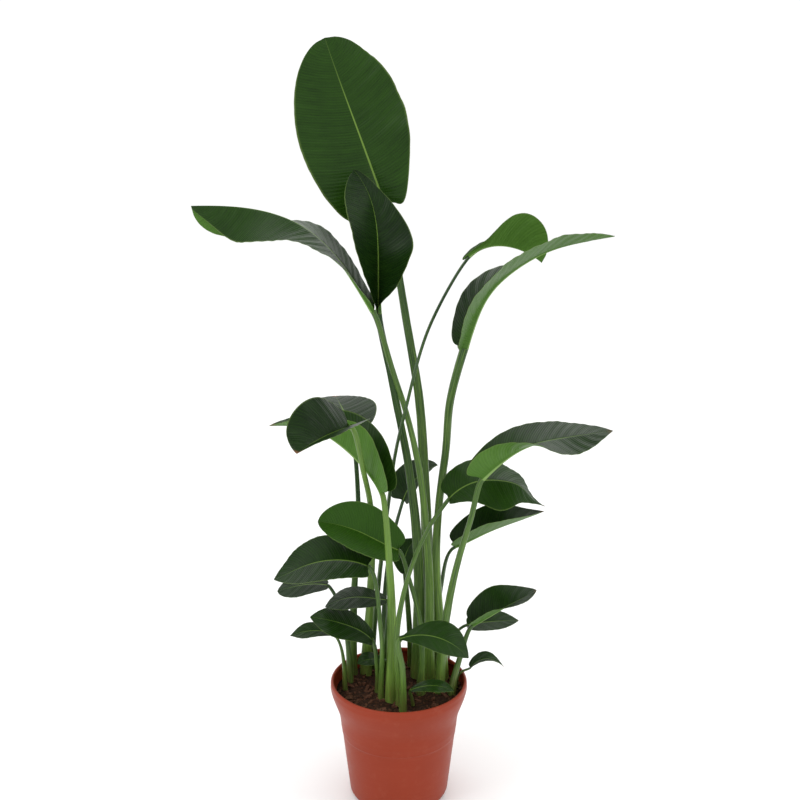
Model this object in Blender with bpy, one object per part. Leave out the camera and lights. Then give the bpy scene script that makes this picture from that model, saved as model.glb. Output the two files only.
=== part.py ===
"""Potted bird of paradise: a nursery pot of potting mix with twenty-five long-stalked leaves.

The frame: origin at the centre of the pot's underside, +Z up, the plant's wide face toward -Y.
Each leaf is a blade and a stalk. A blade is built on its midrib, a curve that starts at the top of the
stalk and follows a heading (about Z, 0 along +X) and a pitch (above the horizontal) that change along it.
Two halves are folded up (+) or down (-) from the midrib. Metres throughout.
"""
import math
import bmesh
import bpy
from mathutils import Vector

# ---------------------------------------------------------------- driving dimensions
POT_SIDES = 48                 # facets round the pot
POT_HEIGHT = 0.2205            # underside to the top of the rolled lip
POT_RIM_RADIUS = 0.1208        # outside of the lip
POT_NECK_RADIUS = 0.1040       # outside, just under the flare
POT_BASE_RADIUS = 0.0885       # outside, just over the foot
POT_FLOOR = 0.003              # thickness of the floor
POT_HOLES = 8                  # drain slots round the foot
POT_HOLE_RADIUS = 0.0045
SOIL_TOP = 0.1975              # level of the potting mix
GAP = 0.0004                   # clearance between touching pieces
STALK_FOOT_Z = SOIL_TOP + 0.0003
STALK_GAP = 0.0012             # between a stalk's end and its blade
STALK_SIDES = 8
BLADE_THICKNESS = 0.0010
RIB_STEPS = 96                 # fine steps along a midrib
SECTION_STEPS = 12             # fine steps across half a blade

# Leaves, tallest first. foot: place on the soil. via: points that the stalk passes. top: the blade's base.
# radius: of the stalk, foot to top. Angles in degrees. Values in brackets are at equal steps, base to tip.
LEAVES = [
    dict(name="01", foot=(0.052, 0.076),
         via=[(0.051, 0.085, 0.411), (0.044, 0.07, 0.588), (0.035, 0.055, 0.72), (0.014, 0.055, 0.852)],
         top=(-0.025, 0.055, 1.062), radius=(0.0115, 0.01, 0.008, 0.0065, 0.0055), heading=165,
         pitch=(69, 69, 69, 71), roll=(-72, -70, -62), length=0.272, width=0.19, wide=0.42, full=0.5, point=0.5,
         lobe=0.12, fold_l=(25, 12, 6), fold_r=(15, 6, 0), curl_r=(-10, -10, -10), w_l=(1.3, 1.12, 1.03, 1, 1),
         w_r=(0.5, 0.82, 0.9, 0.92, 1), wave_r=(12, 3, 0.2)),
    dict(name="02", foot=(0.035, 0.057),
         via=[(0.034, 0.045, 0.438), (0.017, 0.035, 0.606), (-0.005, 0.03, 0.728), (-0.015, 0.02, 0.783)],
         top=(-0.033, 0, 0.885), radius=(0.0125, 0.0095, 0.0075, 0.006, 0.0055), heading=(80, 100, 140, 170),
         pitch=(92, 90, 76, 48), roll=(0, 0, -20, -40), length=0.24, width=0.12, wide=0.45, full=0.9, point=0.5,
         lobe=0, fold_l=(75, 35, 10), fold_r=(75, 35, 10), w_l=(0.7, 0.8, 1.1, 1.4, 1.4),
         w_r=(0.6, 1.2, 0.9, 0.5, 0.3), wave_r=(15, 3, 0.3)),
    dict(name="03", foot=(0.054, 0.031),
         via=[(0.05, 0.012, 0.481), (0.033, 0.005, 0.626), (0.012, 0.012, 0.716), (-0.006, 0, 0.777)],
         top=(-0.041, -0.02, 0.893), radius=(0.0125, 0.0095, 0.0075, 0.006, 0.0055),
         heading=(180, 180, 180, 180, 180, 180), pitch=(60, 56, 43, 20, 5, -2), length=0.36, width=0.14,
         wide=0.5, full=0.6, point=0.5, lobe=0.03, fold_l=(20, 5, -12, -30, -55, -60),
         fold_r=(20, 15, 5, -30, -72, -80), w_l=(0.6, 0.7, 0.9, 1.1, 1, 0.5), w_r=(0.8, 0.8, 0.9, 1, 1, 1.4)),
    dict(name="04", foot=(0.078, 0.05),
         via=[(0.065, 0.05, 0.465), (0.07, 0.06, 0.536), (0.08, 0.05, 0.632), (0.086, 0.03, 0.728)],
         top=(0.108, 0.02, 0.822), radius=(0.0125, 0.0105, 0.0085, 0.0085, 0.009), heading=0,
         pitch=(74, 66, 42, 27, 12, 10), length=0.33, width=0.15, wide=0.45, full=0.6, point=0.8, lobe=0.05,
         fold_l=(45, 28, 0, -8, -8, -8), fold_r=(22, 22, 22, 24, 30, 32)),
    dict(name="05", foot=(-0.049, 0.084),
         via=[(-0.036, 0.09, 0.37), (-0.019, 0.075, 0.521), (-0.005, 0.025, 0.64), (0.01, -0.01, 0.719), (0.052, 0.04, 0.855)],
         top=(0.119, 0.1, 0.959), radius=(0.006, 0.0045, 0.0035, 0.003, 0.003), heading=(10, 0, 0),
         pitch=(45, 5, -20, -40), length=0.135, width=0.1, wide=0.55, full=0.6, point=0.6, lobe=0.15,
         fold_l=(10, 10, 10), fold_r=(80, 85, 80), w_l=0.7, w_r=(0.1, 0.3, 1.15, 1.3, 1.2)),
    dict(name="06", foot=(-0.06, 0.065),
         via=[(-0.051, 0.05, 0.349), (-0.048, 0.032, 0.528), (-0.058, -0.012, 0.609)], top=(-0.08, -0.05, 0.706),
         radius=(0.01, 0.0075, 0.0055, 0.0048, 0.0045), heading=(235, 240, 240), pitch=(5, 0, -8), length=0.15,
         width=0.13, wide=0.42, full=0.6, point=0.8, lobe=0.15, fold_l=(30, 25, 25, 30),
         fold_r=(30, 60, 55, 20, 10)),
    dict(name="07", foot=(-0.084, 0.061), via=[(-0.081, 0.07, 0.34), (-0.072, 0.085, 0.521)],
         top=(-0.082, 0.06, 0.67), radius=(0.008, 0.0065, 0.005, 0.004, 0.0035), heading=(105, 105, 100),
         pitch=(15, 8, -2), length=0.135, width=0.118, wide=0.42, full=0.6, lobe=0.1, fold_l=8, fold_r=8),
    dict(name="08", foot=(-0.014, -0.033),
         via=[(-0.013, -0.05, 0.397), (-0.018, -0.065, 0.504), (-0.022, -0.05, 0.552)],
         top=(-0.028, -0.02, 0.578), radius=(0.0095, 0.0085, 0.007, 0.0055, 0.0048),
         heading=(125, 145, 170, 180, 180, 180), pitch=(38, 42, 40, 30, 6, -2), length=0.24, width=0.125,
         wide=0.42, full=0.6, lobe=0.1, fold_l=(74, 74, 70, 50, 35, 30), fold_r=(74, 72, 60, 30, 12, 10)),
    dict(name="09", foot=(-0.027, 0.08), via=[(-0.014, 0.105, 0.432)], top=(0.008, 0.125, 0.511),
         radius=(0.006, 0.004, 0.003), heading=(40, 25, 10), pitch=(65, 40, 15), length=0.092, width=0.088,
         wide=0.42, full=0.5, point=0.6, lobe=0.1, fold_l=20, fold_r=20),
    dict(name="10", foot=(0.072, -0.001),
         via=[(0.086, -0.03, 0.387), (0.1, -0.045, 0.468), (0.119, -0.055, 0.545)], top=(0.138, -0.05, 0.616),
         radius=(0.011, 0.009, 0.0075, 0.006, 0.0055), heading=0, pitch=(48, 36, 14, 9, 8), length=0.235,
         width=0.145, wide=0.45, full=0.6, point=0.8, lobe=0.1, fold_l=(50, 25, 10, 6, 5, 5),
         fold_r=(75, 50, 20, -5, -12, 0)),
    dict(name="11", foot=(0.002, -0.047),
         via=[(-0.001, -0.067, 0.367), (0.014, -0.055, 0.436), (0.053, -0.035, 0.528)],
         top=(0.087, 0.005, 0.561), radius=(0.008, 0.0065, 0.005, 0.0042, 0.004), heading=0,
         pitch=(50, 27, 2, -15, -50, -20), length=0.188, width=0.12, wide=0.4, full=0.6, point=1.3, lobe=0.08,
         fold_l=(40, 25, 10, 8, 5), fold_r=(-10, -35, -40, -30, 0), w_r=(0.4, 0.8, 1, 0.9, 0.5)),
    dict(name="12", foot=(0.07, 0.08), via=[(0.077, 0.1, 0.355)], top=(0.099, 0.04, 0.456),
         radius=(0.006, 0.0045, 0.0035), heading=0, pitch=(25, 27, 22, 20, 25), length=0.167, width=0.095,
         wide=0.4, full=0.6, lobe=0.07, fold_l=(55, 50, 45, 20, 10), fold_r=(40, 40, 35, 30, 25)),
    dict(name="13", foot=(0.039, -0.008), via=[(0.037, -0.01, 0.339), (0.019, 0, 0.411)],
         top=(-0.001, -0.01, 0.471), radius=(0.009, 0.006, 0.005, 0.0045), heading=180, pitch=(24, 29, 18, 5),
         length=0.148, width=0.12, wide=0.45, full=0.55, point=0.6, lobe=0.09, fold_l=(-12, -12, -12),
         fold_r=(66, 66, 60), w_r=0.84),
    dict(name="14", foot=(-0.031, -0.026), via=[(-0.03, -0.06, 0.345)], top=(-0.052, -0.05, 0.459),
         radius=(0.006, 0.005, 0.004), heading=180, pitch=(25, 5, -12, -26, -25), length=0.168, width=0.12,
         wide=0.43, full=0.55, point=0.85, lobe=0.08, fold_l=(-10, -10, -10), fold_r=(22, 22, 22)),
    dict(name="15", foot=(-0.088, 0.035), via=[(-0.098, 0.045, 0.312), (-0.11, 0.045, 0.355)],
         top=(-0.127, 0.04, 0.383), radius=(0.007, 0.005, 0.0035), heading=180, pitch=(10, -10, -20),
         length=0.09, width=0.07, wide=0.5, full=0.6, point=0.6, lobe=0.08, fold_l=(-10, -10, -10),
         fold_r=(10, 10, 10)),
    dict(name="16", foot=(-0.034, 0.065), via=[(-0.021, 0.01, 0.31)], top=(-0.022, -0.01, 0.378),
         radius=(0.006, 0.0045, 0.003), heading=180, pitch=(8, 5, -15, -35), length=0.11, width=0.07, wide=0.5,
         full=0.6, lobe=0.06, bend=0.3, fold_l=(-10, -10, -10), fold_r=(8, 8, 8)),
    dict(name="17", foot=(-0.037, -0.001), via=[(-0.037, -0.02, 0.248)], top=(-0.046, -0.03, 0.311),
         radius=(0.006, 0.005, 0.004), heading=180, pitch=(50, 25, 15, 7), length=0.118, width=0.08, wide=0.5,
         full=0.6, lobe=0.08, fold_l=(-15, -15, -15), fold_r=(15, 15, 15)),
    dict(name="18", foot=(-0.096, 0.01), top=(-0.117, -0.03, 0.324), radius=(0.005, 0.0035, 0.0025), heading=180,
         pitch=(20, -5, -25), length=0.073, width=0.045, wide=0.5, full=0.6, point=1, lobe=0.08,
         fold_l=(-5, -5, -5), fold_r=(15, 15, 15)),
    dict(name="19", foot=(-0.014, 0.072), top=(-0.028, 0.03, 0.241), radius=(0.003, 0.003), heading=200,
         pitch=(20, 5, -30), length=0.05, width=0.04, wide=0.5, full=0.6, lobe=0.05, fold_l=(-5, -5, -5),
         fold_r=(15, 15, 15)),
    dict(name="20", foot=(0.022, 0.095), top=(0.011, 0.08, 0.388), radius=(0.006, 0.004), heading=(120, 60, 50),
         pitch=(80, 50, 20), length=0.07, width=0.05, wide=0.5, full=0.6, lobe=0.05, fold_l=20, fold_r=20),
    dict(name="21", foot=(0.094, -0.008), via=[(0.109, 0.01, 0.261)], top=(0.13, 0, 0.325),
         radius=(0.008, 0.006, 0.004), heading=0, pitch=(30, 32, 30, 34), length=0.128, width=0.1, wide=0.42,
         full=0.6, point=0.7, lobe=0.08, fold_l=(50, 40, 18, 2), fold_r=(35, 32, 12, -5), w_r=(0.85, 0.85, 0.8)),
    dict(name="22", foot=(0.089, 0.095), top=(0.122, 0.04, 0.305), radius=(0.005, 0.0035, 0.003), heading=0,
         pitch=(12, 5, 0), length=0.092, width=0.06, wide=0.42, full=0.6, lobe=0.05, fold_l=(30, 20, 10),
         fold_r=(-5, -5, -5)),
    dict(name="23", foot=(0.007, -0.064), via=[(0.006, -0.083, 0.282)], top=(0.002, -0.09, 0.344),
         radius=(0.007, 0.006, 0.005), heading=(-5, -10, -15), pitch=(25, 0, -25, -48), length=0.128, width=0.09,
         wide=0.5, full=0.75, lobe=0, fold_l=15, fold_r=-16, w_l=(0.5, 0.9, 1, 0.8), w_r=(0.7, 0.75, 0.7)),
    dict(name="24", foot=(0.025, -0.047), top=(0.021, -0.06, 0.231), radius=(0.003, 0.003), heading=-10,
         pitch=(30, 5, -25), length=0.078, width=0.035, wide=0.5, full=0.6, lobe=0.05, fold_l=10, fold_r=-8),
    dict(name="25", foot=(0.104, 0.017), via=[(0.111, 0.01, 0.228)], top=(0.127, 0.01, 0.236),
         radius=(0.003, 0.002), heading=0, pitch=(55, 25, -20, -50), length=0.07, width=0.04, wide=0.38,
         full=0.6, point=1.2, lobe=0.05, fold_l=15, fold_r=10, w_r=0.6),
]


for leaf in LEAVES:
    leaf["neck"] = leaf["radius"][-1]
    leaf["large"] = leaf["length"] > 0.2

def key(values, t):
    """Smooth value at t, 0 to 1, from values given at equal steps."""
    if isinstance(values, (int, float)):
        return float(values)
    n = len(values) - 1
    if n == 0:
        return float(values[0])
    x = min(max(t, 0.0), 1.0) * n
    i = min(int(x), n - 1)
    f = x - i
    a, b = values[i], values[i + 1]
    da = (b - values[i - 1]) / 2 if i > 0 else b - a
    db = (values[i + 2] - a) / 2 if i + 2 <= n else b - a
    return ((2 * f**3 - 3 * f**2 + 1) * a + (f**3 - 2 * f**2 + f) * da
            + (-2 * f**3 + 3 * f**2) * b + (f**3 - f**2) * db)


def axes(leaf, t):
    """Along, up and right directions of the blade at t."""
    h, p, r = (math.radians(key(leaf.get(n, 0), t)) for n in ("heading", "pitch", "roll"))
    along = Vector((math.cos(h) * math.cos(p), math.sin(h) * math.cos(p), math.sin(p)))
    up = Vector((-math.cos(h) * math.sin(p), -math.sin(h) * math.sin(p), math.cos(p)))
    right = along.cross(up)
    return along, up * math.cos(r) + right * math.sin(r), right * math.cos(r) - up * math.sin(r)


def midrib(leaf, steps=RIB_STEPS):
    """Points along the midrib at equal steps, from the blade's base to its tip."""
    points = [Vector(leaf["top"])]
    for i in range(steps):
        points.append(points[-1] + axes(leaf, (i + 0.5) / steps)[0] * (leaf["length"] / steps))
    return points


def midrib_at(points, t):
    x = min(max(t, 0.0), 1.0) * (len(points) - 1)
    i = min(int(x), len(points) - 2)
    return points[i].lerp(points[i + 1], x - i)


def half_width(leaf, t):
    """Half width of the blade: fullest at `wide`, blunt at the base, drawn out by `point` at the tip."""
    wide = leaf.get("wide", 0.42)
    power = leaf.get("full", 0.55) if t < wide else leaf.get("point", 0.8)
    u = min(max(t, 0.0), 1.0) ** (math.log(0.5) / math.log(wide))
    body = math.sin(math.pi * min(u, 1.0)) ** power if 0 < t < 1 else 0.0
    return leaf["width"] / 2 * body


def lobe(t):
    """How far the basal lobes reach back: most at t = 0.07."""
    return t / 0.07 * math.exp(1 - t / 0.07)


def row(leaf, points, t, shares_l, shares_r):
    """One cross row of the blade, left margin to right margin; shares are fractions of each half."""
    along, up, right = axes(leaf, t)
    centre = midrib_at(points, t)
    back = leaf["length"] * (leaf.get("sweep", 0.05) * math.sin(math.pi * t) - leaf.get("lobe", 0.1) * lobe(t))
    halves = []
    for side, name, shares in ((-1, "l", shares_l), (1, "r", shares_r)):
        wide = half_width(leaf, t) * key(leaf.get("w_" + name, 1.0), t)
        wide = max(wide, leaf["neck"] * (1 - t) + 0.0012)
        fold, curl = key(leaf["fold_" + name], t), key(leaf.get("curl_" + name, 0), t)
        swing, waves, start = leaf.get("wave_" + name, (0, 3, 0))
        p, line = centre.copy(), [centre.copy()]
        for j in range(SECTION_STEPS):
            q = (j + 0.5) / SECTION_STEPS
            a = math.radians(fold + curl * q + swing * q * math.sin(2 * math.pi * (waves * t + start)))
            p = p + (right * (side * math.cos(a)) + up * math.sin(a)) * (wide / SECTION_STEPS)
            line.append(p.copy())
        half = []
        for q in shares:
            x = q * SECTION_STEPS
            i = min(int(x), SECTION_STEPS - 1)
            half.append(line[i].lerp(line[i + 1], x - i) + along * (back * q ** 1.3))
        halves.append(half)
    return halves[0][::-1] + [centre] + halves[1]


def stalk_path(leaf, n):
    """Centre line of a stalk: upright from its foot, past its way points, into the midrib."""
    knots = [Vector((leaf["foot"][0], leaf["foot"][1], STALK_FOOT_Z))]
    knots += [Vector(p) for p in leaf.get("via", [])] + [Vector(leaf["top"])]
    reach = [0.0]
    for a, b in zip(knots, knots[1:]):
        reach.append(reach[-1] + (b - a).length)
    slopes = [Vector((0, 0, 1))]
    for i in range(1, len(knots) - 1):
        before, after = reach[i] - reach[i - 1], reach[i + 1] - reach[i]
        slopes.append(((knots[i] - knots[i - 1]) / before * after
                       + (knots[i + 1] - knots[i]) / after * before) / (before + after))
    slopes.append(axes(leaf, 0)[0] * leaf.get("bend", 0.5))
    path = []
    for j in range(n + 1):
        s = (reach[-1] - STALK_GAP) * j / n
        i = max(k for k in range(len(knots) - 1) if reach[k] <= s + 1e-9)
        h = reach[i + 1] - reach[i]
        f = (s - reach[i]) / h
        path.append((2 * f**3 - 3 * f**2 + 1) * knots[i] + (f**3 - 2 * f**2 + f) * h * slopes[i]
                    + (-2 * f**3 + 3 * f**2) * knots[i + 1] + (f**3 - f**2) * h * slopes[i + 1])
    return path


def clear_scene():
    for ob in list(bpy.data.objects):
        bpy.data.objects.remove(ob, do_unlink=True)


def material(name, colour, roughness, metallic=0.0):
    mat = bpy.data.materials.new(name)
    mat.use_nodes = True
    shader = mat.node_tree.nodes["Principled BSDF"]
    shader.inputs["Base Color"].default_value = (*colour, 1.0)
    shader.inputs["Roughness"].default_value = roughness
    shader.inputs["Metallic"].default_value = metallic
    mat.diffuse_color = (*colour, 1.0)
    return mat


def add_object(name, bm, mat, smooth=True):
    bmesh.ops.recalc_face_normals(bm, faces=bm.faces)
    mesh = bpy.data.meshes.new(name)
    bm.to_mesh(mesh)
    bm.free()
    mesh.materials.append(mat)
    ob = bpy.data.objects.new(name, mesh)
    bpy.context.scene.collection.objects.link(ob)
    if smooth:
        mesh.shade_smooth()
        mesh.set_sharp_from_angle(angle=math.radians(40))
    return ob


def turned(profile, sides):
    """Closed solid of revolution about Z; the profile runs from the axis to the axis."""
    bm = bmesh.new()
    rings = []
    for r, z in profile:
        if r < 1e-6:
            rings.append([bm.verts.new((0, 0, z))])
        else:
            rings.append([bm.verts.new((r * math.cos(2 * math.pi * k / sides),
                                        r * math.sin(2 * math.pi * k / sides), z)) for k in range(sides)])
    for a, b in zip(rings, rings[1:]):
        for k in range(sides):
            m = (k + 1) % sides
            if len(a) == 1:
                bm.faces.new((a[0], b[m], b[k]))
            elif len(b) == 1:
                bm.faces.new((a[k], a[m], b[0]))
            else:
                bm.faces.new((a[k], a[m], b[m], b[k]))
    return bm


def wall_radius(z):
    """Outside of the pot's wall: a straight taper, a small step, then the flare under the lip."""
    straight = POT_BASE_RADIUS + (POT_NECK_RADIUS - POT_BASE_RADIUS) * (z - 0.012) / 0.138
    step = 0.0005 if z > 0.122 else 0.0
    flare = min(max((z - 0.150) / 0.060, 0.0), 1.0)
    return straight + step + (POT_RIM_RADIUS - 0.1107) * flare * flare * (3 - 2 * flare)


def build_pot(mat):
    foot = [(0.0, 0.0), (0.0800, 0.0), (0.0850, 0.0025), (0.0880, 0.0080)]
    levels = (0.014, 0.050, 0.086, 0.1215, 0.1225, 0.150, 0.162, 0.172, 0.182, 0.192, 0.202)
    outside = [(wall_radius(z), z) for z in levels]
    lip = [(POT_RIM_RADIUS, 0.2120), (POT_RIM_RADIUS, 0.2170), (0.1194, POT_HEIGHT - 0.0006),
           (0.1175, POT_HEIGHT), (0.1157, POT_HEIGHT - 0.0006), (0.1146, 0.2170)]
    inside = [(wall_radius(z) - 0.0026, z) for z in (0.202, 0.192, 0.182, 0.172, 0.162, 0.150, 0.086, 0.014)]
    floor = [(0.0840, POT_FLOOR + 0.0025), (0.0810, POT_FLOOR), (0.0, POT_FLOOR)]
    pot = add_object("pot", turned(foot + outside + lip + inside + floor, POT_SIDES), mat)
    for k in range(POT_HOLES):
        a = 2 * math.pi * (k + 0.5) / POT_HOLES
        bpy.ops.mesh.primitive_cylinder_add(
            vertices=10, radius=POT_HOLE_RADIUS, depth=0.014,
            location=(0.0875 * math.cos(a), 0.0875 * math.sin(a), 0.0045),
            rotation=(0, math.pi / 2, a))
        cutter = bpy.context.object
        cutter.name = "drain_cutter_%d" % k
        cutter.hide_render = True
        cutter.display_type = "WIRE"
        cut = pot.modifiers.new("drain_%d" % k, "BOOLEAN")
        cut.operation = "DIFFERENCE"
        cut.solver = "EXACT"
        cut.object = cutter
    return pot


def build_soil(mat):
    """The potting mix and the roots in it fill the pot to just under the flare's top."""
    levels = (0.014, 0.050, 0.086, 0.150, 0.162, 0.172, 0.182, 0.192)
    wall = [(wall_radius(z) - 0.0026 - GAP * 1.3, z) for z in levels]
    top_radius = wall_radius(SOIL_TOP) - 0.0026 - GAP * 1.3
    profile = [(0.0, POT_FLOOR + GAP), (0.0800, POT_FLOOR + GAP), (0.0832, POT_FLOOR + 0.0034)] + wall
    profile += [(top_radius, SOIL_TOP), (0.0, SOIL_TOP)]
    return add_object("soil", turned(profile, POT_SIDES), mat)


def build_stalk(leaf, mat):
    """A round, tapering stalk with flat ends."""
    rings = max(4, round(4 + leaf_reach(leaf) / 0.09))
    path = stalk_path(leaf, rings)
    bm = bmesh.new()
    turn, loops = Vector((1, 0, 0)), []
    for i, p in enumerate(path):
        ahead = Vector((0, 0, 1)) if i == 0 else (path[min(i + 1, rings)] - path[i - 1]).normalized()
        if i == rings:
            ahead = axes(leaf, 0)[0]
        turn = (turn - ahead * turn.dot(ahead)).normalized()
        other = ahead.cross(turn)
        r = key(leaf["radius"], i / rings)
        loops.append([bm.verts.new(p + turn * (r * math.cos(2 * math.pi * k / STALK_SIDES))
                                   + other * (r * math.sin(2 * math.pi * k / STALK_SIDES)))
                      for k in range(STALK_SIDES)])
    for a, b in zip(loops, loops[1:]):
        for k in range(STALK_SIDES):
            m = (k + 1) % STALK_SIDES
            bm.faces.new((a[k], a[m], b[m], b[k]))
    bm.faces.new(loops[0][::-1])
    bm.faces.new(loops[-1])
    return add_object("stalk_" + leaf["name"], bm, mat)


def leaf_reach(leaf):
    return (Vector(leaf["top"]) - Vector((*leaf["foot"], STALK_FOOT_Z))).length


def build_blade(leaf, mat):
    """A thin closed blade with the midrib standing out below it."""
    rows, shares = (11, (0.36, 0.70, 1.0)) if leaf["large"] else (8, (0.52, 1.0))
    points = midrib(leaf)
    grid, keel = [], []
    for i in range(rows + 1):
        t = (i / rows) ** 1.3
        depth = leaf["neck"] * (1 - t) ** 1.2
        width = max(half_width(leaf, t), leaf["neck"] * (1 - t) + 0.0012)
        near = min(0.3, max(depth, 0.0008) / width)
        grid.append(row(leaf, points, t, (near,) + shares, (near,) + shares))
        keel.append(depth)
    cols = len(grid[0])
    mid = cols // 2
    bm = bmesh.new()
    top, bottom = [], []
    for i in range(rows + 1):
        upper, lower = [], []
        for j in range(cols):
            du = grid[min(i + 1, rows)][j] - grid[max(i - 1, 0)][j]
            dv = grid[i][min(j + 1, cols - 1)] - grid[i][max(j - 1, 0)]
            n = dv.cross(du).normalized()
            upper.append(bm.verts.new(grid[i][j] + n * (BLADE_THICKNESS / 2)))
            drop = BLADE_THICKNESS / 2 + (keel[i] if j == mid else 0.0)
            lower.append(bm.verts.new(grid[i][j] - n * drop))
        top.append(upper)
        bottom.append(lower)
    for i in range(rows):
        for j in range(cols - 1):
            bm.faces.new((top[i][j], top[i][j + 1], top[i + 1][j + 1], top[i + 1][j]))
            bm.faces.new((bottom[i][j], bottom[i + 1][j], bottom[i + 1][j + 1], bottom[i][j + 1]))
        for j, flip in ((0, False), (cols - 1, True)):
            side = (top[i][j], top[i + 1][j], bottom[i + 1][j], bottom[i][j])
            bm.faces.new(side[::-1] if flip else side)
    for i, flip in ((0, True), (rows, False)):
        for j in range(cols - 1):
            end = (top[i][j], top[i][j + 1], bottom[i][j + 1], bottom[i][j])
            bm.faces.new(end[::-1] if flip else end)
    return add_object("leaf_" + leaf["name"], bm, mat)


clear_scene()
POT_PLASTIC = material("terracotta_plastic", (0.34, 0.062, 0.030), 0.42)
SOIL_MIX = material("potting_mix", (0.055, 0.018, 0.010), 0.95)
BLADE_GREEN = material("leaf_green", (0.018, 0.075, 0.012), 0.38)
STALK_GREEN = material("stalk_green", (0.070, 0.190, 0.022), 0.45)

build_pot(POT_PLASTIC)
build_soil(SOIL_MIX)
for leaf in LEAVES:
    build_stalk(leaf, STALK_GREEN)
    build_blade(leaf, BLADE_GREEN)
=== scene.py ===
import math
import random
import bmesh
import bpy
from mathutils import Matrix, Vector, noise


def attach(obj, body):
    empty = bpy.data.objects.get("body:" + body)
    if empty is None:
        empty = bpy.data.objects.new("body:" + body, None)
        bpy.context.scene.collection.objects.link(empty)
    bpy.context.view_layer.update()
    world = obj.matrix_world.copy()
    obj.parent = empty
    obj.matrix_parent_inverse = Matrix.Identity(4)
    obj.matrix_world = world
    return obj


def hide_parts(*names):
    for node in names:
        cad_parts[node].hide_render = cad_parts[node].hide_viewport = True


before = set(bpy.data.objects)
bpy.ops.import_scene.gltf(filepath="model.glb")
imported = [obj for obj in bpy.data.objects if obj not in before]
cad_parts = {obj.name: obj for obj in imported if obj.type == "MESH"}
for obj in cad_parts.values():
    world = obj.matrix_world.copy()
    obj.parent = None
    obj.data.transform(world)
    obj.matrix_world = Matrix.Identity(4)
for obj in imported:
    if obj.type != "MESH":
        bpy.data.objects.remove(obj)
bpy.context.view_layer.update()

# ---------------------------------------------------------------- dimensions shared with the CAD model
POT_HEIGHT = 0.2205
POT_RIM_RADIUS = 0.1208
POT_NECK_RADIUS = 0.1040
POT_BASE_RADIUS = 0.0885
POT_FLOOR = 0.003
SOIL_TOP = 0.1975
STALK_FOOT_Z = SOIL_TOP - 0.004
STALK_GAP = 0.0
RIB_STEPS = 120
SECTION_STEPS = 24

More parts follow.
